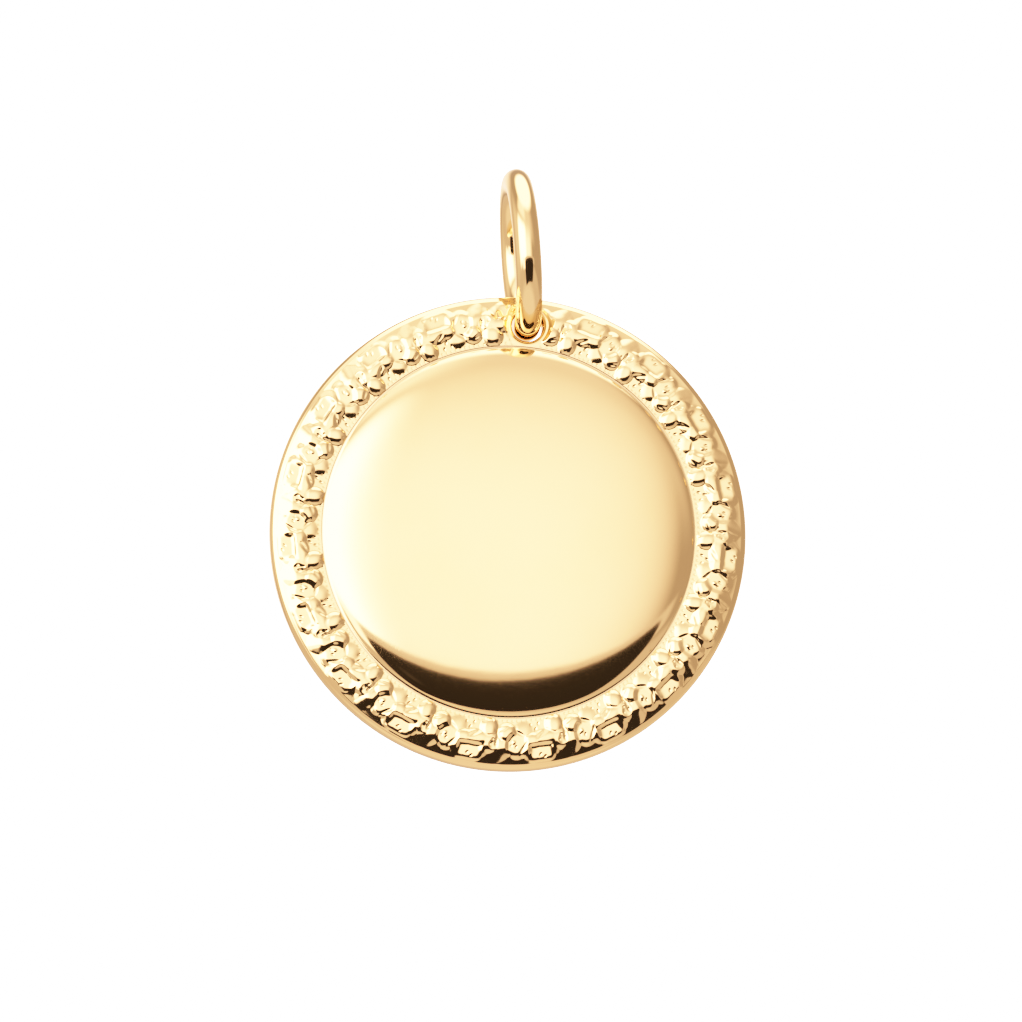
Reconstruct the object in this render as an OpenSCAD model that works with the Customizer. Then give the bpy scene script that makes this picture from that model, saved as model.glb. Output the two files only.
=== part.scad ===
// Disc pendant: one gilt casting with a polished cushion-shaped middle and a
// border of raised five-petal flowers, hanging from a round jump ring.
// Millimetres. The front faces -Y and +Z is up. The origin is the inner top of
// the jump ring, where a chain would run through it.

/* [Disc] */
// Diameter of the disc
disc_d = 20; // [19.6:0.1:21]
// Thickness of the plate under the border
plate_t = 0.95; // [0.8:0.05:1.1]
// Radius of the rounded outer lip on the front
lip_r = 0.45; // [0.35:0.05:0.5]
// Radius of the rounded edge on the back
back_edge_r = 0.2; // [0.1:0.05:0.3]

/* [Polished middle] */
// Diameter of the polished middle
dome_d = 15.5; // [15:0.05:15.6]
// Rise of the polished middle above the plate
dome_h = 0.9; // [0.4:0.05:1.4]

/* [Flower border] */
// Number of flower pairs round the border
pairs = 19; // [19:1:20]
// Place of the first cup flower, in degrees clockwise from the hole
first_pair = 4; // [0:0.5:9]
// Width of the groove between the middle and the border
groove_w = 0.08; // [0.05:0.01:0.15]
// Rise of the border's ground above the plate
ground_h = 0.22; // [0.15:0.01:0.3]
// Rise of the cup flower's petals above the ground
cup_h = 0.32; // [0.15:0.01:0.35]
// Rise of the star flower's petals above the ground
star_h = 0.26; // [0.1:0.01:0.3]
// Rise of the leaf between two pairs above the ground
leaf_h = 0.14; // [0.05:0.01:0.2]

/* [Hanging] */
// Diameter of the drilled hole
hole_d = 1.52; // [1.5:0.02:1.6]
// Distance of the hole's middle from the disc's edge
hole_in = 1.25; // [1.22:0.01:1.3]
// Wire diameter of the jump ring
wire_d = 1.12; // [0.9:0.02:1.12]
// Outer diameter of the jump ring
ring_d = 7.3; // [7.2:0.1:8]
// Lean of the jump ring to the left of upright, in degrees
ring_lean = 9.5; // [0:0.5:10]

/* [Hidden] */

disc_r = disc_d / 2;
dome_r = dome_d / 2;
hole_r = hole_d / 2;
wire_r = wire_d / 2;
ring_mid_r = ring_d / 2 - wire_r;
ring_inner_r = ring_mid_r - wire_r;
section_step = 6;

// The border's bed: it rises out of the plate and ends at the outer lip.
border_in = dome_r + groove_w;
lip_step = 0.06;
border_out = disc_r - lip_r + lip_step;
border_w = border_out - border_in;
border_edge = 0.05;
border_bed = 0.15;
crown_share = 0.27;
crown_r = border_in + crown_share * border_w;
ground_fall = 0.85;
rows = 11;
pair_columns = 24;
columns = pairs * pair_columns;
pair_angle = 360 / pairs;

// Middles of a pair's two flowers and of its leaf, as shares of the border's
// width from its inner edge and of the pair's angle clockwise from its cup
// flower.
cup_share = 0.6;
star_share = [0.57, 0.31];
leaf_share = [0.84, 0.59];
cup_line = border_in + cup_share * border_w;
star_line = border_in + star_share[0] * border_w;
leaf_line = border_in + leaf_share[0] * border_w;
star_angle = star_share[1] * pair_angle;
leaf_angle = leaf_share[1] * pair_angle;

// Oval forms, [half length, half width]: the cup flower's petals stand round a
// bowl and the star flower's lie close to its middle.
petals = 5;
cup_petal = [0.31, 0.29];
cup_arm = 0.46;
cup_boss_r = 0.24;
cup_boss_h = 0.16;
star_petal = [0.4, 0.27];
star_arm = 0.42;
star_button_r = 0.26;
star_button_h = 0.2;
leaf_oval = [0.3, 0.56];

// Places, from the origin at the inner top of the ring. The hole's middle is
// the wire's middle at the ring's lowest point.
ring_up = [-sin(ring_lean), 0, cos(ring_lean)];
ring_middle = -ring_inner_r * ring_up;
hole_middle = ring_middle - ring_mid_r * ring_up;
hole_line = disc_r - hole_in;
disc_middle = hole_middle - [0, 0, hole_line];
plate_middle = (plate_t + ground_h) / 2;
hole_clear = hole_r + 0.12;
hole_blend = 0.18;

// Smooth step from 0 at a to 1 at b.
function ease(a, b, x) = let (t = min(1, max(0, (x - a) / (b - a)))) t * t * (3 - 2 * t);

// Rise of a rounded form that is 1 at its middle, where q is 0, and 0 from q = 1.
function swell(q) = q >= 1 ? 0 : pow(1 - q, 1.3);

// Rise of the highest petal at (across, out) from a flower's middle.
function petals_rise(across, out, arm, petal, turn) =
    max([for (k = [0:petals - 1])
        let (a = turn + k * 360 / petals,
             along = across * sin(a) + out * cos(a) - arm,
             aside = across * cos(a) - out * sin(a))
        swell(pow(along / petal[0], 2) + pow(aside / petal[1], 2))]);

function round_rise(across, out, r) = swell((across * across + out * out) / (r * r));

// Cup flower: petals round a bowl, with a boss in it.
function cup_rise(p) = max(
    cup_h * petals_rise(p[0], p[1], cup_arm, cup_petal, 0),
    cup_boss_h * round_rise(p[0], p[1], cup_boss_r));

// Star flower: petals that lie flat, with a button at their middle.
function star_rise(p) = max(
    star_h * petals_rise(p[0], p[1], star_arm, star_petal, 36),
    star_button_h * round_rise(p[0], p[1], star_button_r));

function leaf_rise(p) = leaf_h * swell(pow(p[1] / leaf_oval[0], 2) + pow(p[0] / leaf_oval[1], 2));

// [across, out] of the point at radius r and angle a from a motif's middle.
function from_motif(r, a, line, turn) = [r * sin(a - turn), r * cos(a - turn) - line];

// Rise of the motifs at radius r and angle a from a pair's cup flower.
function motif_rise(r, a) =
    max([for (turn = [-pair_angle, 0, pair_angle]) max(
        cup_rise(from_motif(r, a, cup_line, turn)),
        star_rise(from_motif(r, a, star_line, turn + star_angle)),
        leaf_rise(from_motif(r, a, leaf_line, turn + leaf_angle)))]);

// Rise of the ground: level, then falling towards the outer lip.
function ground_rise(r) =
    r < crown_r ? ground_h
    : ground_h * (1 - ground_fall * pow((r - crown_r) / (border_out - crown_r), 2));

// Rise of the border's face above the plate. The flowers stop short of the hole.
function border_rise(r, column) =
    let (from_cup = (column % pair_columns) * pair_angle / pair_columns,
         turn = first_pair + column * pair_angle / pair_columns,
         from_hole = norm([r * sin(turn), r * cos(turn) - hole_line]))
    ground_rise(r) + motif_rise(r, from_cup) * ease(hole_clear, hole_clear + hole_blend, from_hole);

// Radius of row i; the first and last rows lie in the plate.
function row_r(i) =
    i == 0 ? border_in
    : i == rows + 1 ? border_out
    : border_in + border_edge + (i - 1) / (rows - 1) * (border_w - 2 * border_edge);

function border_point(i, column) =
    let (turn = first_pair + column * pair_angle / pair_columns,
         r = row_r(i),
         sunk = i == 0 || i == rows + 1)
    [r * sin(turn), r * cos(turn), plate_t + (sunk ? -border_bed : border_rise(r, column))];

module flower_border() {
    loops = rows + 2;
    points = [for (column = [0:columns - 1]) for (i = [0:loops - 1]) border_point(i, column)];
    faces = [for (column = [0:columns - 1]) for (i = [0:loops - 1])
        let (this = column * loops,
             next = ((column + 1) % columns) * loops,
             j = (i + 1) % loops)
        each [[this + i, this + j, next + j], [this + i, next + j, next + i]]];
    polyhedron(points, faces, convexity = 6);
}

// Cross-section of the disc: flat back, rounded edges, plate and middle.
module disc_section() {
    lip_z = plate_t - lip_r;
    polygon(concat(
        [[0, 0]],
        [for (a = [0:30:90]) [disc_r - back_edge_r * (1 - sin(a)), back_edge_r * (1 - cos(a))]],
        [for (a = [0:15:90]) [disc_r - lip_r * (1 - cos(a)), lip_z + lip_r * sin(a)]],
        [for (a = [0:section_step:90]) [dome_r * cos(a), plate_t + dome_h * sin(a)]]
    ));
}

// The disc lying on its back round its own middle, front upwards.
module disc_casting() {
    rotate_extrude($fn = 180) disc_section();
    flower_border();
}

module disc() {
    color("gold")
    translate(disc_middle + [0, plate_middle, 0])
    rotate([90, 0, 0])
    difference() {
        disc_casting();
        translate([0, hole_line, -1]) cylinder(h = 4, r = hole_r, $fn = 48);
    }
}

module jump_ring() {
    color("goldenrod")
    translate(ring_middle)
    rotate([0, 90 - ring_lean, 0])
    rotate_extrude($fn = 96)
    translate([ring_mid_r, 0]) circle(r = wire_r, $fn = 32);
}

disc();
jump_ring();
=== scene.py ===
"""Disc pendant: one gilt casting with a polished cushion-shaped middle and a
border of raised flowers, hanging by its drilled hole from a round jump ring.

The studio is a pale light tent with a dark card low in front, so the polished
metal has something soft and something dark to mirror."""

from __future__ import annotations

import logging
import math
from dataclasses import dataclass, field
from enum import Enum

import bpy
import numpy as np
from bpy.types import Material, Mesh, Node, NodeOutputs, NodeSocket, NodeTree, Object
from mathutils import Matrix, Vector, noise

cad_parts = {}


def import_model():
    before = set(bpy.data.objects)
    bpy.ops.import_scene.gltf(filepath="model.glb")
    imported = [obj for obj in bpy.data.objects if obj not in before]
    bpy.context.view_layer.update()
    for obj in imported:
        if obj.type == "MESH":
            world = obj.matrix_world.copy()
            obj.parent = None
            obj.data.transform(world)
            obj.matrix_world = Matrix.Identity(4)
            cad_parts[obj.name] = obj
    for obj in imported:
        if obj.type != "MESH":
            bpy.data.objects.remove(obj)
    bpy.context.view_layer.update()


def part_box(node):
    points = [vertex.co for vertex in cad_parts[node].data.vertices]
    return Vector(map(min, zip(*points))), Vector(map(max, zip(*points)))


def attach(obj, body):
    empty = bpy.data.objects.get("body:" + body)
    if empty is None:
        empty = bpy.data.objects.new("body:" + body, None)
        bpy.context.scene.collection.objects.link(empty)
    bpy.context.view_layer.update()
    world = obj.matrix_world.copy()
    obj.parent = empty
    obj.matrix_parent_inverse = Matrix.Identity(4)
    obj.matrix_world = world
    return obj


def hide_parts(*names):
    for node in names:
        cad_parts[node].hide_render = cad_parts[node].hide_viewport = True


LOG = logging.getLogger("disc_pendant")
MM = 0.001
MICRON = 0.000001

# Drift of the plating's tone: scale, detail, range of the noise that counts, and the share of the deep tone.
TONE_SCALE = 190.0
TONE_DETAIL = 3.0
TONE_RANGE = (0.35, 0.75)
TONE_SHARE = 0.5

# Hairlines: turn in degrees and stretch of each set, their scale, and the range of the noise that cuts.
HAIRLINE_SETS = ((25.0, 14.0), (-48.0, 11.0))
HAIRLINE_SCALE = 900.0
HAIRLINE_DETAIL = 4.0
HAIRLINE_ROUGHNESS = 0.6
HAIRLINE_RANGE = (0.62, 0.78)
HAIRLINE_DULLNESS = 0.6

# Patches that the hairlines come in, and the fine orange-peel.
PATCH_SCALE = 260.0
PATCH_RANGE = (0.45, 0.7)
PEEL_SCALE = 1700.0
PEEL_SHARE = 0.5

BUMP_STRENGTH = 0.6
BUMP_DISTANCE = 2.0 * MICRON

# How softly the edge of a level patch of the relief ends.
FLAT_SOFT = 1.3


class Finish(Enum):
    """The two finishes of the pendant, by the record's material slots."""

    CASTING = "gilt_casting"
    WIRE = "gilt_wire"


def ease(low: float, high: float, value: np.ndarray) -> np.ndarray:
    """Smooth step from 0 where the value is low to 1 where it is high."""
    t = np.clip((value - low) / (high - low), 0.0, 1.0)
    return t * t * (3.0 - 2.0 * t)


def new_object(name: str, mesh: Mesh) -> Object:
    """Puts a mesh into the scene as an object at the origin.

    Args:
        name: name of the object.
        mesh: its mesh.

    Returns:
        The new object.
    """
    piece = bpy.data.objects.new(name, mesh)
    bpy.context.scene.collection.objects.link(piece)
    return piece


def settle(piece: Object) -> None:
    """Applies an object's modifiers.

    Args:
        piece: the object, whose mesh is replaced by the evaluated one.
    """
    graph = bpy.context.evaluated_depsgraph_get()
    done = bpy.data.meshes.new_from_object(piece.evaluated_get(graph), depsgraph=graph)
    old = piece.data
    piece.modifiers.clear()
    piece.data = done
    bpy.data.meshes.remove(old)
    done.name = piece.name


def coordinates(mesh: Mesh) -> np.ndarray:
    """Reads where a mesh's vertices are.

    Args:
        mesh: the mesh.

    Returns:
        Rows of x, y and z.
    """
    flat = np.empty(len(mesh.vertices) * 3)
    mesh.vertices.foreach_get("co", flat)
    return flat.reshape(-1, 3)


def set_coordinates(mesh: Mesh, points: np.ndarray) -> None:
    """Moves a mesh's vertices to the rows of x, y and z in points."""
    mesh.vertices.foreach_set("co", points.reshape(-1))
    mesh.update()


@dataclass(frozen=True)
class Swell:
    """Smooth random rise and fall of a hand-polished surface.

    Attributes:
        width: width of one swell in millimetres.
        depth: greatest rise in microns.
        offset: shifts the pattern, so that two patterns differ.
    """

    width: float
    depth: float
    offset: float

    def rise(self, points: np.ndarray) -> np.ndarray:
        """How far the surface rises.

        Args:
            points: rows of x, y and z in metres.

        Returns:
            The rise at each point in metres.
        """
        size = self.width * MM
        shift = Vector((self.offset, self.offset, self.offset))
        return np.array([noise.noise(Vector(p) / size + shift) for p in points]) * (self.depth * MICRON)


class Tree:
    """Short ways to add and join nodes in one node tree.

    The Mix node has sockets of the same name for each type of value, so its
    sockets are given by number.
    """

    def __init__(self, tree: NodeTree) -> None:
        """Keeps the tree that nodes are added to."""
        self.tree = tree

    def feed(self, node: Node, feeds: dict[object, object]) -> None:
        """Links a node's inputs to sockets, or sets their plain values.

        Args:
            node: the node.
            feeds: sockets or plain values by the input's name or number.
        """
        for name, value in feeds.items():
            if isinstance(value, NodeSocket):
                self.tree.links.new(value, node.inputs[name])
            else:
                node.inputs[name].default_value = value

    def add(self, kind: str, feeds: dict[object, object] | None = None, **settings: object) -> Node:
        """Adds a node.

        Args:
            kind: the node's type.
            feeds: sockets or plain values by the input's name or number.
            settings: the node's properties.

        Returns:
            The node.
        """
        node = self.tree.nodes.new(kind)
        for name, value in settings.items():
            setattr(node, name, value)
        self.feed(node, feeds or {})
        return node

    def first(self, kind: str, feeds: dict[object, object] | None = None, **settings: object) -> NodeSocket:
        """Adds a node, as add does, and returns its first output."""
        return self.add(kind, feeds, **settings).outputs[0]

    def math(self, operation: str, *values: object) -> NodeSocket:
        """Adds a Math node with these numbers or sockets as its inputs, and returns its result."""
        return self.first("ShaderNodeMath", dict(enumerate(values)), operation=operation)

    def ramp(self, value: object, low: object, high: object,
             to_low: object = 0.0, to_high: object = 1.0) -> NodeSocket:
        """Adds a smooth step that runs from to_low at low to to_high at high."""
        feeds = dict(enumerate((value, low, high, to_low, to_high)))
        return self.first("ShaderNodeMapRange", feeds, interpolation_type="SMOOTHSTEP")

    def mix(self, factor: object, first: object, second: object) -> NodeSocket:
        """Adds a colour mix from first, where factor is 0, to second."""
        return self.add("ShaderNodeMix", {"Factor": factor, 6: first, 7: second}, data_type="RGBA").outputs[2]

    def noise(self, vector: object, scale: object, detail: float = 2.0,
              roughness: float = 0.5) -> NodeSocket:
        """Adds a noise texture and returns its value."""
        feeds = {"Vector": vector, "Scale": scale, "Detail": detail, "Roughness": roughness}
        return self.first("ShaderNodeTexNoise", feeds, noise_dimensions="3D")


def new_material(name: str) -> tuple[Material, Tree]:
    """Makes a material that uses nodes.

    Args:
        name: name of the material.

    Returns:
        The material and its tree.
    """
    material = bpy.data.materials.new(name)
    material.use_nodes = True
    return material, Tree(material.node_tree)


def group_tree(name: str, kind: str, inputs: dict[str, object],
               outputs: dict[str, str]) -> tuple[Tree, NodeOutputs, Node]:
    """Makes an empty node group with named sockets.

    Args:
        name: name of the group.
        kind: ShaderNodeTree or GeometryNodeTree.
        inputs: default values by name; None makes a geometry, material or vector socket, by its name.
        outputs: socket types by name.

    Returns:
        The tree, its input node's sockets and its output node.
    """
    group = bpy.data.node_groups.new(name, kind)
    kinds = {float: "NodeSocketFloat", int: "NodeSocketInt", tuple: "NodeSocketColor"}
    plain = {"Geometry": "NodeSocketGeometry", "Material": "NodeSocketMaterial", "Vector": "NodeSocketVector"}
    for label, value in inputs.items():
        socket_type = plain[label] if value is None else kinds[type(value)]
        socket = group.interface.new_socket(label, in_out="INPUT", socket_type=socket_type)
        if value is not None:
            socket.default_value = value
    for label, socket_type in outputs.items():
        group.interface.new_socket(label, in_out="OUTPUT", socket_type=socket_type)
    tree = Tree(group)
    return tree, tree.add("NodeGroupInput").outputs, tree.add("NodeGroupOutput")


def run_nodes(piece: Object, group: NodeTree, values: dict[str, object]) -> None:
    """Runs a geometry node group on an object and keeps the plain mesh.

    Args:
        piece: the object that the group works on.
        group: the geometry node group.
        values: the group's inputs by name, set by their identifiers.
    """
    modifier = piece.modifiers.new(group.name, "NODES")
    modifier.node_group = group
    for item in group.interface.items_tree:
        if item.in_out == "INPUT" and item.name in values:
            modifier[item.identifier] = values[item.name]
    settle(piece)


def tone_group() -> NodeTree:
    """Slow drift of the plating between a light and a deep tone.

    Returns:
        The shader node group.
    """
    tree, given, out = group_tree(
        "plating_tone", "ShaderNodeTree",
        {"Vector": None, "Light": (1.0, 1.0, 1.0, 1.0), "Deep": (0.5, 0.5, 0.5, 1.0),
         "GrooveShade": (0.2, 0.2, 0.2, 1.0), "Scale": 1.0, "Recess": 0.0},
        {"Color": "NodeSocketColor"})
    drift = tree.noise(given["Vector"], given["Scale"], TONE_DETAIL)
    patch = tree.ramp(drift, *TONE_RANGE, 0.0, TONE_SHARE)
    plating = tree.mix(patch, given["Light"], given["Deep"])
    # painted shade: where Recess is 1 the colour is mixed towards the darker groove colour
    tree.feed(out, {"Color": tree.mix(given["Recess"], plating, given["GrooveShade"])})
    return tree.tree


def polish_group() -> NodeTree:
    """Hairlines and a faint orange-peel that hand polishing leaves.

    Returns:
        The shader node group.
    """
    tree, given, out = group_tree(
        "polish_marks", "ShaderNodeTree",
        {"Vector": None, "Scale": 1.0, "Hairlines": 0.3, "Peel": 1.0},
        {"Height": "NodeSocketFloat", "Mask": "NodeSocketFloat"})
    heights = []
    for turn, stretch in HAIRLINE_SETS:
        placed = tree.first("ShaderNodeMapping", {
            "Vector": given["Vector"], "Scale": (stretch, 1.0, 1.0),
            "Rotation": (0.0, math.radians(turn), 0.0)})
        lines = tree.noise(placed, given["Scale"], HAIRLINE_DETAIL, HAIRLINE_ROUGHNESS)
        heights.append(tree.ramp(lines, *HAIRLINE_RANGE))
    patches = tree.ramp(tree.noise(given["Vector"], PATCH_SCALE), *PATCH_RANGE)
    lines = tree.math("MULTIPLY", tree.math("MAXIMUM", *heights), patches)
    peel = tree.math("MULTIPLY", tree.noise(given["Vector"], PEEL_SCALE, 1.0), given["Peel"])
    cut = tree.math("MULTIPLY", lines, given["Hairlines"])
    tree.feed(out, {"Height": tree.math("SUBTRACT", peel, cut), "Mask": lines})
    return tree.tree


@dataclass(frozen=True)
class GiltFinish:
    """Polished gold plating on brass.

    Attributes:
        slot: the record's material slot.
        light: colour of the burnished metal.
        deep: colour where the plating is richer.
        groove_shade: painted shade, a darker colour painted into the groove where shade falls.
        polish: roughness of the smooth parts.
        dull: roughness of the recesses and hairlines.
        hairlines: depth of the hairlines against the peel.
    """

    slot: Finish
    light: tuple[float, float, float, float]
    deep: tuple[float, float, float, float]
    groove_shade: tuple[float, float, float, float]
    polish: float
    dull: float
    hairlines: float

    def material(self, tone: NodeTree, polish: NodeTree) -> Material:
        """Builds the finish's material.

        Args:
            tone: the plating tone group.
            polish: the polish marks group.

        Returns:
            The material.
        """
        material, tree = new_material(self.slot.value + "_look")
        place = tree.add("ShaderNodeTexCoord").outputs["Object"]
        # the recess mask paints shade into the groove's colour and also makes it rougher
        recess = tree.add("ShaderNodeAttribute", attribute_name="recess").outputs["Fac"]
        marks = tree.add("ShaderNodeGroup", {
            "Vector": place, "Scale": HAIRLINE_SCALE, "Hairlines": self.hairlines, "Peel": PEEL_SHARE},
            node_tree=polish)
        tones = tree.first("ShaderNodeGroup", {
            "Vector": place, "Recess": recess, "Light": self.light, "Deep": self.deep, "GrooveShade": self.groove_shade,
            "Scale": TONE_SCALE}, node_tree=tone)
        scratched = tree.math("MULTIPLY", marks.outputs["Mask"], HAIRLINE_DULLNESS)
        worn = tree.math("MAXIMUM", recess, scratched)
        bump = tree.first("ShaderNodeBump", {
            "Strength": BUMP_STRENGTH, "Distance": BUMP_DISTANCE, "Height": marks.outputs["Height"]})
        tree.feed(material.node_tree.nodes["Principled BSDF"], {
            "Base Color": tones, "Metallic": 1.0, "Normal": bump,
            "Roughness": tree.ramp(worn, 0.0, 1.0, self.polish, self.dull)})
        return material


@dataclass(frozen=True)
class Form:
    """One soft swelling of the relief, or a hollow, with an oval footprint.

    Attributes:
        across: place of its middle, clockwise from the repeat's start.
        out: distance of its middle from the disc's middle.
        half_length: half its length.
        half_width: half its width.
        turn: where its length points, in degrees clockwise from outward.
        rise: its rise, below 0 for a hollow.
        flat: how flat its top is.
        soft: how softly its edge ends.
    """

    across: float
    out: float
    half_length: float
    half_width: float
    turn: float
    rise: float
    flat: float = 2.0
    soft: float = 1.7

    def height(self, across: np.ndarray, out: np.ndarray) -> np.ndarray:
        """How high it stands.

        Args:
            across: places clockwise from the repeat's start.
            out: their distances from the disc's middle.

        Returns:
            Its rise at each place.
        """
        turn = math.radians(self.turn)
        side, away = across - self.across, out - self.out
        along = (side * math.sin(turn) + away * math.cos(turn)) / self.half_length
        aside = (side * math.cos(turn) - away * math.sin(turn)) / self.half_width
        reach = np.hypot(along, aside)
        return self.rise * np.clip(1.0 - reach ** self.flat, 0.0, 1.0) ** self.soft


@dataclass(frozen=True)
class Flat:
    """A level patch of the relief with a steep edge: a leaf, or a bowl's floor.

    Attributes:
        across: place of its middle, clockwise from the repeat's start.
        out: distance of its middle from the disc's middle.
        half_length: half its length, away from the disc's middle.
        half_width: half its width.
        level: its height above the plate.
        square: 2 for an oval, more for a squarer patch.
        steep: how steep its edge is.
        fall: how much it falls away from the disc's middle, for each unit.
    """

    across: float
    out: float
    half_length: float
    half_width: float
    level: float
    square: float
    steep: float
    fall: float = 0.0

    def mask(self, across: np.ndarray, out: np.ndarray) -> np.ndarray:
        """Where the patch lies.

        Args:
            across: places clockwise from the repeat's start.
            out: their distances from the disc's middle.

        Returns:
            1 on the patch and 0 past its edge.
        """
        side = np.abs((across - self.across) / self.half_width)
        away = np.abs((out - self.out) / self.half_length)
        reach = (side ** self.square + away ** self.square) ** (1.0 / self.square)
        return np.clip(1.0 - reach ** self.steep, 0.0, 1.0) ** FLAT_SOFT


@dataclass(frozen=True)
class FlowerBorder:
    """The border's relief: a cup flower, a star flower and a leaf, repeated.

    Distances are in millimetres from the disc's middle, angles in degrees
    clockwise as seen from the front. Places across are measured along the
    border's middle line.

    Attributes:
        repeats: number of repeats round the disc.
        first: angle of the first repeat's start.
        middle_line: radius that places across are measured along.
        inner: radius of the border's inner edge.
        outer: radius of its outer edge.
        ground: height of the ground between the flowers.
        fall: where the ground starts to fall, the width of the bend, and its slope.
        inner_fade: width over which the relief starts.
        outer_fade: width over which it ends.
        slack: gap left at the hole, in degrees.
        slack_from: where it begins, in degrees from the hole.
        sharpness: how clearly petals that meet are told apart.
        petals: petals of both flowers; the highest counts.
        masses: soft swellings under them.
        flats: the cup's bowl and the leaf.
        creases: grooves between petals, with straight sides.
        pits: small marks.
        dots: punched dots along the inner edge of one repeat.
        dot: radius of their line, half their length and their depth.
        dot_stretch: their width against their length.
    """

    repeats: int = 19
    first: float = 3.0
    middle_line: float = 8.87
    inner: float = 7.85
    outer: float = 9.77
    ground: float = 0.16
    fall: tuple[float, float, float] = (9.05, 0.2, 0.22)
    inner_fade: float = 0.1
    outer_fade: float = 0.08
    slack: float = 3.4
    slack_from: float = 8.0
    sharpness: float = 10.0
    petals: tuple[Form, ...] = (
        Form(-0.22, 9.12, 0.75, 0.36, -22.0, 0.08, 2.2, 1.3),
        Form(0.78, 9.1, 0.72, 0.42, 28.0, 0.09, 2.2, 1.3),
        Form(0.58, 8.46, 0.45, 0.42, 115.0, 0.13, 3.4, 1.0),
        Form(-0.1, 8.42, 0.5, 0.44, -125.0, 0.05, 2.8, 1.5),
        Form(-0.48, 8.82, 0.42, 0.36, -80.0, 0.11, 2.8, 1.0),
        Form(1.28, 8.88, 0.5, 0.48, 0.0, 0.11, 2.6, 1.0),
        Form(1.85, 8.76, 0.7, 0.38, 86.0, 0.12, 2.6, 1.0),
        Form(1.6, 9.12, 0.6, 0.34, 25.0, 0.06, 2.2, 1.3),
        Form(1.12, 9.12, 0.6, 0.36, -12.0, 0.05, 2.2, 1.3),
        Form(1.4, 8.28, 0.5, 0.42, 172.0, 0.12, 3.0, 1.1),
    )
    masses: tuple[Form, ...] = (
        Form(0.1, 8.8, 1.3, 0.9, 90.0, 0.05),
        Form(1.5, 8.7, 1.15, 0.9, 90.0, 0.05),
    )
    flats: tuple[Flat, ...] = (
        Flat(0.2, 8.97, 0.62, 0.49, 0.2, 2.1, 2.6),
        Flat(0.2, 9.0, 0.5, 0.39, 0.235, 2.1, 3.0, 0.03),
        Flat(2.13, 9.33, 0.4, 0.54, 0.155, 5.0, 5.0, 0.06),
    )
    creases: tuple[Form, ...] = (
        Form(-0.06, 9.14, 0.46, 0.08, 34.0, -0.035, 1.0, 1.0),
        Form(1.02, 8.75, 0.4, 0.1, 6.0, -0.05, 1.0, 1.0),
        Form(0.82, 8.33, 0.36, 0.1, 65.0, -0.04, 1.0, 1.0),
        Form(1.99, 8.58, 0.36, 0.13, 55.0, -0.06, 1.0, 1.0),
        Form(0.1, 8.44, 0.38, 0.1, 121.0, -0.045, 1.0, 1.0),
    )
    pits: tuple[Form, ...] = (
        Form(1.16, 8.93, 0.26, 0.2, 20.0, -0.05, 2.4, 1.0),
        Form(0.3, 8.85, 0.09, 0.08, 20.0, 0.03, 2.0, 1.0),
        Form(0.22, 9.05, 0.1, 0.05, 30.0, -0.025, 2.0, 1.0),
        Form(0.42, 9.0, 0.07, 0.05, -30.0, -0.02, 2.0, 1.0),
        Form(1.07, 8.92, 0.07, 0.05, 40.0, -0.03, 2.0, 1.0),
        Form(1.32, 8.95, 0.06, 0.05, 0.0, -0.03, 2.0, 1.0),
        Form(1.2, 8.72, 0.07, 0.05, 80.0, -0.03, 2.0, 1.0),
        Form(2.0, 9.52, 0.08, 0.04, 35.0, -0.03, 2.0, 1.0),
        Form(2.18, 9.42, 0.1, 0.04, 35.0, -0.03, 2.0, 1.0),
        Form(2.25, 8.35, 0.1, 0.05, 30.0, -0.04, 2.0, 1.0),
        Form(2.1, 8.12, 0.09, 0.05, 20.0, -0.03, 2.0, 1.0),
        Form(2.45, 8.15, 0.07, 0.05, -20.0, -0.03, 2.0, 1.0),
    )
    dots: int = 13
    dot: tuple[float, float, float] = (7.95, 0.04, 0.02)
    dot_stretch: float = 1.3

    def step(self) -> float:
        """Angle of one repeat."""
        return 360.0 / self.repeats

    def ground_height(self, radius: np.ndarray) -> np.ndarray:
        """Height of the ground above the plate, which falls away near the lip.

        Args:
            radius: distances from the disc's middle.

        Returns:
            The height at each distance.
        """
        start, bend, slope = self.fall
        share = np.clip((radius - start) / bend, 0.0, 1.0)
        return self.ground - slope * (bend / 2.0 * share ** 2 + np.maximum(radius - start - bend, 0.0))

    def relief(self, radius: np.ndarray, angle: np.ndarray) -> np.ndarray:
        """Rise of the flowers above the ground.

        Args:
            radius: distances from the disc's middle.
            angle: degrees clockwise from a repeat's start.

        Returns:
            The rise at each place.
        """
        places = [np.radians(angle - turn) * self.middle_line for turn in (-self.step(), 0.0, self.step())]
        power = self.sharpness
        total = sum(form.height(across, radius) ** power for across in places for form in self.petals)
        total = total ** (1.0 / power)
        total += sum(form.height(across, radius) for across in places for form in self.masses)
        ground = self.ground_height(radius)
        for flat in self.flats:
            for across in places:
                mask = flat.mask(across, radius)
                level = flat.level - flat.fall * (radius - flat.out)
                total = total * (1.0 - mask) + (level - ground) * mask
        small = self.creases + self.pits + self.edge_dots()
        total += sum(form.height(across, radius) for across in places for form in small)
        inner = ease(self.inner, self.inner + self.inner_fade, radius)
        outer = 1.0 - ease(self.outer - self.outer_fade, self.outer, radius)
        return total * inner * outer

    def edge_dots(self) -> tuple[Form, ...]:
        """The punched dots along the inner edge.

        Returns:
            The dots of one repeat.
        """
        line, size, depth = self.dot
        pitch = math.radians(self.step()) * self.middle_line / self.dots
        width = size * self.dot_stretch
        places = (pitch * (k + 0.5) for k in range(self.dots))
        return tuple(Form(place, line, size, width, 0.0, -depth, 2.0, 1.0) for place in places)

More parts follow.
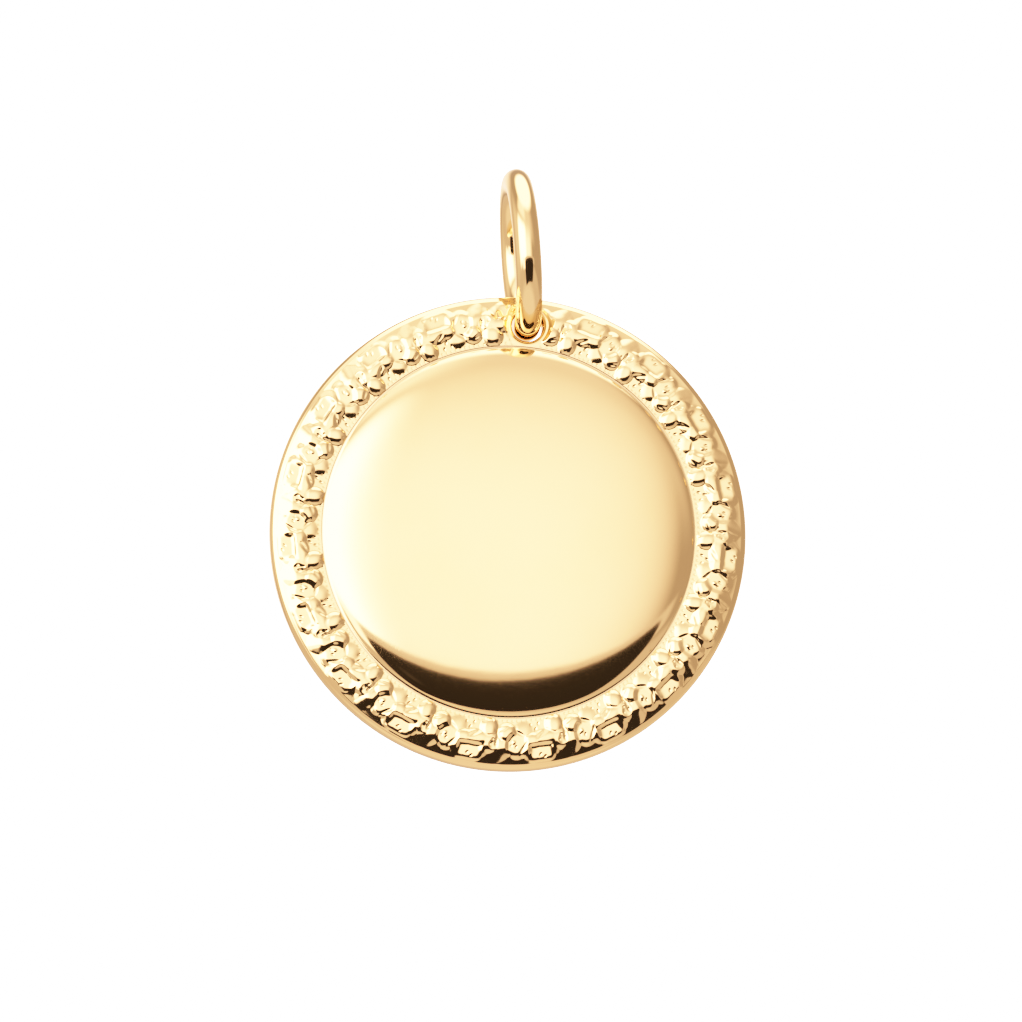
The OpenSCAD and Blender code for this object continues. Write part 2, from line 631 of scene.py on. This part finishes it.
    def loosen(self, points: np.ndarray) -> np.ndarray:
        """Sets the repeats closer together, which leaves the slack at the hole.

        Args:
            points: rows of x, y and z, lying on the back.

        Returns:
            The rows turned about the middle.
        """
        angle = np.degrees(np.arctan2(points[:, 0], points[:, 1])) % 360.0
        radius = np.hypot(points[:, 0], points[:, 1])
        share = np.interp(angle, [0.0, self.slack_from, 360.0 - self.slack_from, 360.0], [0.5, 0.0, 1.0, 0.5])
        turned = np.radians(angle - self.slack * share)
        return np.stack([radius * np.sin(turned), radius * np.cos(turned), points[:, 2]], axis=1)


@dataclass(frozen=True)
class Row:
    """One ring of points of the disc, within a repeat.

    Attributes:
        radius: its radius in millimetres.
        height: its height above the back.
        columns: faces that it borders in one repeat.
        carved: whether the flowers stand on it.
    """

    radius: float
    height: float
    columns: int
    carved: bool = False


@dataclass
class Disc:
    """The casting: cushion-shaped middle, flower border, lip and plain back.

    Distances are in millimetres.

    Attributes:
        plate: thickness of the plate.
        radius: radius of the disc.
        lip: width and height of the front's rounded edge.
        lip_start: slope at its start, in degrees.
        back_edge: radius of the back's rounded edge.
        dome_radius: radius of the cushion-shaped middle.
        dome_rise: its rise above the plate.
        dome_axis: half the width of the oval that it is cut from.
        groove: radius of the groove and height of its bottom.
        groove_reach: how far from the border's edge its painted shade starts, is full and ends.
        hole_radius: radius of the drilled hole.
        hole_line: distance of its middle from the disc's.
        hole_roll: radius of its rounded front rim.
        hole_clear: width round it without flowers.
        hole_blend: width over which they rise.
        hole_sides: sides of the bar that cuts it.
        bar_ends: heights of the bar's ends.
        waves: slow waviness of the front.
        dents: finer unevenness of the front.
        weld: widest gap between repeats that is closed, in microns.
        sharp_angle: least angle of a sharp edge, in degrees.
        back_rings: radii of the back's rings, as shares of the disc's.
        dome_rows: rings of points on the middle.
        dome_columns: faces of each ring there, in one repeat.
        border_rows: rings of faces on the border.
        border_columns: faces of each ring there, in one repeat.
        lip_rows: rings of faces on the lip.
        back_edge_rows: rings of faces on the back's edge.
        lip_columns: faces of each ring on both edges, in one repeat.
        back_columns: faces of each ring on the back, in one repeat.
        border: the relief.
    """

    plate: float = 0.95
    radius: float = 10.0
    lip: tuple[float, float] = (0.24, 0.45)
    lip_start: float = 8.0
    back_edge: float = 0.2
    dome_radius: float = 7.75
    dome_rise: float = 0.9
    dome_axis: float = 7.8
    groove: tuple[float, float] = (7.83, 0.1)
    groove_reach: tuple[float, float, float] = (0.12, 0.05, 0.06)
    hole_radius: float = 0.66
    hole_line: float = 8.75
    hole_roll: float = 0.17
    hole_clear: float = 0.2
    hole_blend: float = 0.16
    hole_sides: int = 72
    bar_ends: tuple[float, float] = (-1.0, 4.0)
    waves: Swell = Swell(3.1, 2.5, 0.0)
    dents: Swell = Swell(0.7, 0.8, 7.0)
    weld: float = 2.0
    sharp_angle: float = 62.0
    back_rings: tuple[float, float] = (0.9, 0.5)
    dome_rows: int = 30
    dome_columns: int = 8
    border_rows: int = 50
    border_columns: int = 88
    lip_rows: int = 9
    back_edge_rows: int = 5
    lip_columns: int = 22
    back_columns: int = 2
    border: FlowerBorder = field(default_factory=FlowerBorder)

    def place(self) -> Matrix:
        """Where the disc goes in the frame.

        Returns:
            The move there from lying on its back.
        """
        low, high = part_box("disc")
        middle = Vector(((low[0] + high[0]) / 2.0, high[1], (low[2] + high[2]) / 2.0))
        return Matrix.Translation(middle) @ Matrix.Rotation(math.radians(90.0), 4, "X")

    def rows(self) -> list[Row]:
        """The rings of points that the disc is made of.

        Returns:
            The rings, from the middle of the front to the middle of the back.
        """
        rows = [Row(0.0, self.plate + self.dome_rise, 1)]
        edge = math.asin(self.dome_radius / self.dome_axis)
        for i in range(1, self.dome_rows + 1):
            t = edge * i / self.dome_rows
            height = self.plate + self.dome_rise * math.cos(t)
            rows.append(Row(self.dome_axis * math.sin(t), height, self.dome_columns))
        step = (self.border.outer - self.border.inner) / self.border_rows
        rows.append(Row(self.groove[0], self.plate + self.groove[1], self.dome_columns))
        for i in range(self.border_rows + 1):
            rows.append(Row(self.border.inner + i * step, self.plate, self.border_columns, True))
        for i in range(self.lip_rows + 1):
            t = math.radians(self.lip_start + (90.0 - self.lip_start) * i / self.lip_rows)
            rows.append(Row(self.radius - self.lip[0] * (1.0 - math.sin(t)),
                            self.plate - self.lip[1] * (1.0 - math.cos(t)), self.lip_columns))
        for i in range(self.back_edge_rows + 1):
            t = math.radians(90.0 * i / self.back_edge_rows)
            rows.append(Row(self.radius - self.back_edge * (1.0 - math.cos(t)),
                            self.back_edge * (1.0 - math.sin(t)), self.lip_columns))
        for share in self.back_rings:
            rows.append(Row(self.radius * share, 0.0, self.back_columns))
        rows.append(Row(0.0, 0.0, 1))
        return rows

    def sector(self) -> Mesh:
        """One repeat of the disc, lying on its back.

        Returns:
            A mesh in metres whose two straight sides meet when it is turned
            by one repeat.
        """
        rows = self.rows()
        points = [self.row_points(row) for row in rows]
        starts = np.cumsum([0] + [len(line) for line in points]).tolist()
        faces: list[tuple[int, ...]] = []
        for i in range(len(rows) - 1):
            faces += self.strip(rows[i], rows[i + 1], starts[i], starts[i + 1])
        mesh = bpy.data.meshes.new("sector")
        mesh.from_pydata((np.concatenate(points) * MM).tolist(), [], faces)
        return mesh

    def row_points(self, row: Row) -> np.ndarray:
        """The points of one ring within a repeat.

        Args:
            row: the ring.

        Returns:
            Rows of x, y and z.
        """
        if row.radius == 0.0:
            return np.array([[0.0, 0.0, row.height]])
        angle = np.linspace(0.0, self.border.step(), row.columns + 1)
        radius = np.full_like(angle, row.radius)
        height = np.full_like(angle, row.height)
        if row.carved:
            height += self.border.ground_height(radius) + self.border.relief(radius, angle)
        turn = np.radians(angle + self.border.first)
        return np.stack([radius * np.sin(turn), radius * np.cos(turn), height], axis=1)

    @staticmethod
    def strip(upper: Row, lower: Row, first: int, second: int) -> list[tuple[int, ...]]:
        """Faces between two rings, whose numbers of columns divide each other.

        Args:
            upper: the ring nearer the middle of the front.
            lower: the next ring.
            first: number of the upper ring's first point.
            second: number of the lower ring's first point.

        Returns:
            The faces, facing outwards.
        """
        if upper.radius == 0.0:
            return [(first, second + j + 1, second + j) for j in range(lower.columns)]
        if lower.radius == 0.0:
            return [(first + j, first + j + 1, second) for j in range(upper.columns)]
        faces: list[tuple[int, ...]] = []
        cells = min(upper.columns, lower.columns)
        above = upper.columns // cells
        below = lower.columns // cells
        for j in range(cells):
            a = [first + j * above + t for t in range(above + 1)]
            b = [second + j * below + t for t in range(below + 1)]
            if above == below:
                faces.append((a[0], a[1], b[1], b[0]))
            elif below > above:
                half = below // 2
                faces += [(a[0], b[t + 1], b[t]) for t in range(half)]
                faces.append((a[0], a[1], b[half]))
                faces += [(a[1], b[t + 1], b[t]) for t in range(half, below)]
            else:
                half = above // 2
                faces += [(a[t], a[t + 1], b[0]) for t in range(half)]
                faces.append((a[half], b[1], b[0]))
                faces += [(a[t], a[t + 1], b[1]) for t in range(half, above)]
        return faces

    def ring_group(self) -> NodeTree:
        """Geometry nodes that turn one repeat round the middle and weld it.

        Returns:
            The node group.
        """
        tree, given, out = group_tree(
            "repeat_round_middle", "GeometryNodeTree",
            {"Geometry": None, "Repeats": 3, "Weld": 0.001, "Material": None},
            {"Geometry": "NodeSocketGeometry"})
        line = tree.first("GeometryNodeMeshLine", {"Offset": (0.0, 0.0, 0.0), "Count": given["Repeats"]})
        share = tree.math("DIVIDE", tree.first("GeometryNodeInputIndex"), given["Repeats"])
        turn = tree.first("ShaderNodeCombineXYZ", {"Z": tree.math("MULTIPLY", share, -2.0 * math.pi)})
        copies = tree.first("GeometryNodeInstanceOnPoints", {
            "Points": line, "Instance": given["Geometry"], "Rotation": turn})
        plain = tree.first("GeometryNodeRealizeInstances", {"Geometry": copies})
        weld = tree.first("GeometryNodeMergeByDistance", {"Geometry": plain, "Distance": given["Weld"]})
        dressed = tree.first("GeometryNodeSetMaterial", {"Geometry": weld, "Material": given["Material"]})
        tree.feed(out, {"Geometry": dressed})
        return tree.tree

    def level_hole(self, points: np.ndarray) -> np.ndarray:
        """Stops the flowers short of the hole and rolls its rim.

        Args:
            points: rows of x, y and z in metres, lying on the back.

        Returns:
            The rows with their heights changed near the hole.
        """
        x, y, z = (points / MM).T
        radius = np.hypot(x, y)
        apart = np.hypot(x, y - self.hole_line) - self.hole_radius
        share = ease(self.hole_clear, self.hole_clear + self.hole_blend, apart)
        ground = self.plate + self.border.ground_height(radius)
        in_border = (radius > self.border.inner) & (radius < self.border.outer) & (z > self.plate)
        into_roll = np.clip(1.0 - apart / self.hole_roll, 0.0, 1.0)
        rim = self.hole_roll * (1.0 - np.sqrt(1.0 - into_roll ** 2))
        z = np.where(in_border, ground + (z - ground) * share - rim, z)
        return np.stack([x, y, z], axis=1) * MM

    def uneven(self, points: np.ndarray) -> np.ndarray:
        """Adds the slight waviness of a hand-polished front.

        Args:
            points: rows of x, y and z in metres, lying on the back.

        Returns:
            The same rows, raised or lowered.
        """
        front = ease(self.back_edge, self.plate, points[:, 2] / MM)
        points[:, 2] += (self.waves.rise(points) + self.dents.rise(points)) * front
        return points

    def cutter(self) -> Object:
        """A round bar as wide as the drilled hole.

        Returns:
            The bar, standing where the hole goes.
        """
        sides = self.hole_sides
        angle = np.linspace(0.0, 2.0 * math.pi, sides, endpoint=False)
        ends = []
        for level in self.bar_ends:
            ends.append(np.stack([self.hole_radius * np.cos(angle),
                                  self.hole_line + self.hole_radius * np.sin(angle),
                                  np.full(sides, level)], axis=1))
        faces = [tuple(reversed(range(sides))), tuple(range(sides, 2 * sides))]
        for i in range(sides):
            j = (i + 1) % sides
            faces.append((i, j, j + sides, i + sides))
        mesh = bpy.data.meshes.new("drill")
        mesh.from_pydata((np.concatenate(ends) * MM).tolist(), [], faces)
        return new_object("drill", mesh)

    def drill(self, piece: Object) -> None:
        """Drills the hole through the disc.

        Args:
            piece: the disc, lying on its back.
        """
        bar = self.cutter()
        cut = piece.modifiers.new("drill", "BOOLEAN")
        cut.operation = "DIFFERENCE"
        cut.solver = "EXACT"
        cut.object = bar
        settle(piece)
        bpy.data.meshes.remove(bar.data)

    def mark_recess(self, mesh: Mesh) -> None:
        """Stores 1 in the groove round the middle and 0 away from it.

        Args:
            mesh: the disc's mesh, lying on its back.
        """
        x, y, z = (coordinates(mesh) / MM).T
        radius = np.hypot(x, y)
        line = self.border.inner
        start, full, end = self.groove_reach
        # this mask paints shade into the groove's colour and makes it rougher
        within = ease(line - start, line - full, radius) * (1.0 - ease(line, line + end, radius))
        attribute = mesh.attributes.new("recess", "FLOAT", "POINT")
        attribute.data.foreach_set("value", within * (z > self.plate))

    def build(self, material: Material) -> Object:
        """Builds the whole disc as one closed mesh.

        Args:
            material: the casting's material.

        Returns:
            The object, at the origin.
        """
        piece = new_object("gilt_disc", self.sector())
        run_nodes(piece, self.ring_group(),
                  {"Repeats": self.border.repeats, "Weld": self.weld * MICRON, "Material": material})
        points = self.border.loosen(coordinates(piece.data))
        set_coordinates(piece.data, self.uneven(self.level_hole(points)))
        self.drill(piece)
        mesh = piece.data
        mesh.materials.clear()
        mesh.materials.append(material)
        mesh.polygons.foreach_set("material_index", np.zeros(len(mesh.polygons), dtype=np.int32))
        self.mark_recess(mesh)
        mesh.transform(self.place())
        mesh.shade_smooth()
        mesh.set_sharp_from_angle(angle=math.radians(self.sharp_angle))
        return piece


@dataclass
class JumpRing:
    """The closed ring of round wire that the disc hangs from.

    Attributes:
        outer: its outer diameter in millimetres.
        wire: the wire's diameter in millimetres.
        lean: how far it leans to the left, in degrees.
        turns: faces round the ring.
        sides: faces round the wire.
        waves: slight unevenness of the wire.
    """

    outer: float = 7.3
    wire: float = 1.12
    lean: float = 9.5
    turns: int = 256
    sides: int = 48
    waves: Swell = Swell(1.6, 2.0, 3.0)

    def place(self) -> Matrix:
        """Where the ring goes in the frame.

        Returns:
            The move there from lying flat.
        """
        low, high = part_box("jump_ring")
        middle = (Vector(low) + Vector(high)) / 2.0
        return Matrix.Translation(middle) @ Matrix.Rotation(math.radians(90.0 - self.lean), 4, "Y")

    def wire_group(self) -> NodeTree:
        """Geometry nodes that sweep the wire's round section along a circle.

        Returns:
            The node group.
        """
        tree, given, out = group_tree(
            "wire_round_circle", "GeometryNodeTree",
            {"Geometry": None, "Radius": 0.003, "Wire": 0.0005, "Turns": 64, "Sides": 16, "Material": None},
            {"Geometry": "NodeSocketGeometry"})
        path = tree.first("GeometryNodeCurvePrimitiveCircle", {
            "Resolution": given["Turns"], "Radius": given["Radius"]}, mode="RADIUS")
        section = tree.first("GeometryNodeCurvePrimitiveCircle", {
            "Resolution": given["Sides"], "Radius": given["Wire"]}, mode="RADIUS")
        sweep = tree.first("GeometryNodeCurveToMesh", {"Curve": path, "Profile Curve": section})
        plain = tree.first("GeometryNodeRealizeInstances", {"Geometry": sweep})
        dressed = tree.first("GeometryNodeSetMaterial", {"Geometry": plain, "Material": given["Material"]})
        tree.feed(out, {"Geometry": dressed})
        return tree.tree

    def build(self, material: Material) -> Object:
        """Builds the ring.

        Args:
            material: the wire's material.

        Returns:
            The object, at the origin.
        """
        piece = new_object("gilt_jump_ring", bpy.data.meshes.new("ring"))
        middle_radius = (self.outer - self.wire) / 2.0
        run_nodes(piece, self.wire_group(), {
            "Radius": middle_radius * MM, "Wire": self.wire / 2.0 * MM,
            "Turns": self.turns, "Sides": self.sides, "Material": material})
        mesh = piece.data
        points = coordinates(mesh)
        spine = points * (1.0, 1.0, 0.0)
        spine *= middle_radius * MM / np.linalg.norm(spine, axis=1)[:, None]
        outward = (points - spine) / (self.wire / 2.0 * MM)
        points += outward * self.waves.rise(points)[:, None]
        set_coordinates(mesh, points)
        mesh.transform(self.place())
        mesh.shade_smooth()
        return piece


@dataclass(frozen=True)
class TentPatch:
    """A light or dark patch of the tent, as seen from the pendant.

    Attributes:
        azimuth: its middle, in degrees to the right of straight in front.
        elevation: its middle, in degrees above level.
        half_width: half its width in degrees.
        half_height: half its height in degrees.
        soft: width of its soft edge in degrees.
        level: its brightness.
        slant: rise in elevation for each degree to the right.
        square: 2 for an oval patch, more for a squarer one.
    """

    azimuth: float
    elevation: float
    half_width: float
    half_height: float
    soft: float
    level: float
    slant: float = 0.0
    square: float = 6.0


@dataclass
class Studio:
    """Camera, light tent, floor and tone curve.

    Attributes:
        distance: distance of the camera in millimetres.
        azimuth: how far it stands to the right, in degrees.
        elevation: how far it stands above level, in degrees.
        roll: how far the pendant is rolled in the picture, in degrees.
        pixels: width of the picture.
        pixels_per_mm: scale at the disc's middle.
        middle_x: the disc's middle in the picture, from the left.
        middle_y: the same from the top.
        sensor: width of the sensor in millimetres.
        clip: nearest and farthest distance seen, in metres.
        tent_radius: radius of the light tent in millimetres.
        tent_rings: faces from its top to its bottom.
        tent_sides: faces round it.
        tent_warmth: colour of its light.
        tent_level: its brightness between the patches.
        floor_drop: depth of the floor below the disc's middle.
        floor_radius: its radius in millimetres.
        floor_sides: its sides.
        floor_color: its colour.
        floor_roughness: its roughness.
        background_level: brightness of the background.
        curve_white: brightness where the tone curve ends.
        curve_shares: shares of it where the curve has points.
        patches: each lies over the ones before it.
    """

    distance: float = 240.0
    azimuth: float = -3.95
    elevation: float = -8.2
    roll: float = 5.05
    pixels: float = 1022.0
    pixels_per_mm: float = 23.92
    middle_x: float = 508.45
    middle_y: float = 533.0
    sensor: float = 36.0
    clip: tuple[float, float] = (0.001, 20.0)
    tent_radius: float = 700.0
    tent_rings: int = 24
    tent_sides: int = 48
    tent_warmth: tuple[float, float, float, float] = (1.0, 0.68, 0.49, 1.0)
    tent_level: float = 0.8
    floor_drop: float = 190.0
    floor_radius: float = 260.0
    floor_sides: int = 96
    floor_color: tuple[float, float, float, float] = (0.86, 0.85, 0.83, 1.0)
    floor_roughness: float = 0.7
    background_level: float = 8.0
    curve_white: float = 6.0
    curve_shares: tuple[float, ...] = (0.01, 0.025, 0.05, 0.09, 0.15, 0.23, 0.34, 0.5, 0.72)
    patches: tuple[TentPatch, ...] = (
        TentPatch(0.0, -40.0, 400.0, 26.0, 8.0, 1.35),
        TentPatch(0.0, -78.0, 400.0, 30.0, 22.0, 2.1),
        TentPatch(-2.0, 40.0, 46.0, 22.0, 26.0, 2.3),
        TentPatch(-2.0, 1.0, 24.0, 22.0, 32.0, 5.3, 0.0, 3.5),
        TentPatch(-85.0, 6.0, 35.0, 22.0, 24.0, 2.0),
        TentPatch(-46.0, 4.0, 27.0, 22.0, 18.0, 15.0),
        TentPatch(-45.0, 50.0, 30.0, 14.0, 14.0, 4.5),
        TentPatch(0.0, 90.0, 400.0, 34.0, 14.0, 8.5),
        TentPatch(6.0, -13.6, 42.0, 4.4, 1.5, 1.7, 0.16),
        TentPatch(-42.0, -22.0, 9.0, 6.0, 5.0, 6.5),
        TentPatch(3.5, -28.7, 37.0, 16.5, 1.0, 0.035, 0.2, 7.0),
        TentPatch(-17.0, -27.0, 2.5, 3.0, 4.0, 0.08, 0.0, 2.0),
        TentPatch(180.0, 14.0, 36.0, 16.0, 20.0, 3.4),
        TentPatch(140.0, -24.0, 26.0, 16.0, 18.0, 1.6),
    )

    def view_axes(self) -> tuple[Vector, Vector, Vector]:
        """How the camera is turned.

        Returns:
            The picture's right and up, and the way back to the camera.
        """
        side = math.radians(self.azimuth)
        rise = math.radians(self.elevation)
        back = Vector((math.sin(side) * math.cos(rise), -math.cos(side) * math.cos(rise), math.sin(rise)))
        level = Vector((0.0, 0.0, 1.0)).cross(back).normalized()
        upright = back.cross(level)
        turn = math.radians(self.roll)
        right = math.cos(turn) * level + math.sin(turn) * upright
        return right, back.cross(right), back

    def middle(self) -> Vector:
        """Middle of the disc's plate."""
        low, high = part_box("disc")
        return Vector(((low[0] + high[0]) / 2.0, 0.0, (low[2] + high[2]) / 2.0))

    def camera(self) -> None:
        """Places the camera so that the disc's middle falls on its pixel."""
        right, up, back = self.view_axes()
        aim = self.middle()
        aim += right * ((self.pixels / 2.0 - self.middle_x) / self.pixels_per_mm * MM)
        aim -= up * ((self.pixels / 2.0 - self.middle_y) / self.pixels_per_mm * MM)
        data = bpy.data.cameras.new("camera")
        data.sensor_width = self.sensor
        data.lens = self.sensor * self.distance * self.pixels_per_mm / self.pixels
        data.clip_start, data.clip_end = self.clip
        camera = bpy.data.objects.new("camera", data)
        bpy.context.scene.collection.objects.link(camera)
        turn = Matrix((right, up, back)).transposed().to_4x4()
        camera.matrix_world = Matrix.Translation(aim + back * self.distance * MM) @ turn
        bpy.context.scene.camera = camera

    def world(self) -> None:
        """A plain white background."""
        world = bpy.data.worlds.new("background")
        world.use_nodes = True
        Tree(world.node_tree).feed(world.node_tree.nodes["Background"], {
            "Color": (1.0, 1.0, 1.0, 1.0), "Strength": self.background_level})
        bpy.context.scene.world = world

    def tent_material(self) -> Material:
        """Glowing cloth whose brightness follows the patches.

        Returns:
            The material.
        """
        material, tree = new_material("tent_cloth")
        material.node_tree.nodes.clear()
        place = tree.add("ShaderNodeTexCoord").outputs["Object"]
        way = tree.first("ShaderNodeVectorMath", {0: place}, operation="NORMALIZE")
        parts = tree.add("ShaderNodeSeparateXYZ", {0: way}).outputs
        front = tree.math("MULTIPLY", parts["Y"], -1.0)
        azimuth = tree.math("DEGREES", tree.math("ARCTAN2", parts["X"], front))
        elevation = tree.math("DEGREES", tree.math("ARCSINE", parts["Z"]))
        level: object = self.tent_level
        for patch in self.patches:
            mask = self.patch_mask(tree, patch, azimuth, elevation)
            feeds = {0: mask, 2: level, 3: patch.level}
            level = tree.first("ShaderNodeMix", feeds, data_type="FLOAT")
        glow = tree.first("ShaderNodeEmission", {"Color": self.tent_warmth, "Strength": level})
        tree.add("ShaderNodeOutputMaterial", {"Surface": glow})
        return material

    @staticmethod
    def patch_mask(tree: Tree, patch: TentPatch, azimuth: NodeSocket,
                   elevation: NodeSocket) -> NodeSocket:
        """Mask of one patch.

        Args:
            tree: the tent's node tree.
            patch: the patch.
            azimuth: degrees to the right of straight in front.
            elevation: degrees above level.

        Returns:
            1 inside the patch and 0 past its soft edge.
        """
        side = tree.math("WRAP", tree.math("SUBTRACT", azimuth, patch.azimuth), 180.0, -180.0)
        rise = tree.math("SUBTRACT", elevation, patch.elevation)
        if patch.slant:
            rise = tree.math("SUBTRACT", rise, tree.math("MULTIPLY", side, patch.slant))
        powers = []
        for away, half in ((side, patch.half_width), (rise, patch.half_height)):
            share = tree.math("DIVIDE", tree.math("ABSOLUTE", away), half)
            powers.append(tree.math("POWER", share, patch.square))
        reach = tree.math("POWER", tree.math("ADD", *powers), 1.0 / patch.square)
        soft = patch.soft / 2.0 / min(patch.half_width, patch.half_height)
        return tree.ramp(reach, 1.0 - soft, 1.0 + soft, 1.0, 0.0)

    def tent(self) -> Object:
        """A round tent of glowing cloth that only the metal and floor see.

        Returns:
            The tent.
        """
        rings = self.tent_rings
        sides = self.tent_sides
        reach = self.tent_radius * MM
        points = [(0.0, 0.0, reach), (0.0, 0.0, -reach)]
        for i in range(1, rings):
            fall = math.pi * i / rings
            around = reach * math.sin(fall)
            for j in range(sides):
                turn = 2.0 * math.pi * j / sides
                points.append((around * math.cos(turn), around * math.sin(turn), reach * math.cos(fall)))
        faces = []
        last = 2 + (rings - 2) * sides
        for j in range(sides):
            k = (j + 1) % sides
            faces.append((0, 2 + j, 2 + k))
            faces.append((1, last + k, last + j))
            for ring in range(2, last, sides):
                faces.append((ring + j, ring + sides + j, ring + sides + k, ring + k))
        mesh = bpy.data.meshes.new("light_tent")
        mesh.from_pydata(points, [], faces)
        mesh.materials.append(self.tent_material())
        tent = new_object("light_tent", mesh)
        tent.location = self.middle()
        tent.visible_camera = False
        tent.visible_shadow = False
        return tent

    def floor(self) -> Object:
        """A plain round pale floor below the pendant, out of the main picture.

        Returns:
            The floor.
        """
        drop = self.middle().z - self.floor_drop * MM
        turns = [2.0 * math.pi * i / self.floor_sides for i in range(self.floor_sides)]
        reach = self.floor_radius * MM
        mesh = bpy.data.meshes.new("floor")
        mesh.from_pydata([(reach * math.cos(turn), reach * math.sin(turn), drop) for turn in turns],
                         [], [tuple(range(self.floor_sides))])
        material, tree = new_material("pale_floor")
        tree.feed(material.node_tree.nodes["Principled BSDF"], {
            "Base Color": self.floor_color, "Roughness": self.floor_roughness})
        mesh.materials.append(material)
        floor = new_object("floor", mesh)
        floor.visible_glossy = False
        return floor

    def tone(self) -> None:
        """A soft shoulder for the highlights, as a camera gives."""
        view = bpy.context.scene.view_settings
        view.view_transform = "Standard"
        view.look = "None"
        view.use_curve_mapping = True
        mapping = view.curve_mapping
        mapping.extend = "HORIZONTAL"
        mapping.white_level = (self.curve_white,) * 3
        combined = mapping.curves[3]
        full = 1.0 - math.exp(-self.curve_white)
        for share in self.curve_shares:
            combined.points.new(share, (1.0 - math.exp(-self.curve_white * share)) / full)
        mapping.update()

    def build(self) -> None:
        """Sets the whole studio up."""
        self.camera()
        self.world()
        self.tent()
        self.floor()
        self.tone()


GILT_LIGHT = (0.94, 0.69, 0.37, 1.0)
GILT_DEEP = (0.92, 0.65, 0.32, 1.0)
# Painted shade: a darker colour painted into the groove round the middle, where shade falls.
GROOVE_SHADE = (0.66, 0.52, 0.34, 1.0)
CASTING = GiltFinish(Finish.CASTING, GILT_LIGHT, GILT_DEEP, GROOVE_SHADE, 0.07, 0.2, 0.8)
WIRE = GiltFinish(Finish.WIRE, GILT_LIGHT, GILT_DEEP, GROOVE_SHADE, 0.07, 0.16, 0.6)


def report(piece: Object, body: str) -> None:
    """Logs a piece's triangles and body."""
    piece.data.calc_loop_triangles()
    LOG.info("%s rides on %s: %d triangles", piece.name, body, len(piece.data.loop_triangles))


def main() -> None:
    """Loads the frame and builds the studio, the disc and the ring."""
    logging.basicConfig(level=logging.INFO, format="%(name)s: %(message)s")
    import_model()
    Studio().build()
    tone = tone_group()
    polish = polish_group()
    made = (
        (Disc().build(CASTING.material(tone, polish)), "disc", "disc", CASTING),
        (JumpRing().build(WIRE.material(tone, polish)), "ring", "jump_ring", WIRE),
    )
    for piece, body, node, finish in made:
        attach(piece, body)
        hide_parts(node)
        report(piece, body)
    bpy.context.view_layer.update()


if __name__ == "__main__":
    main()
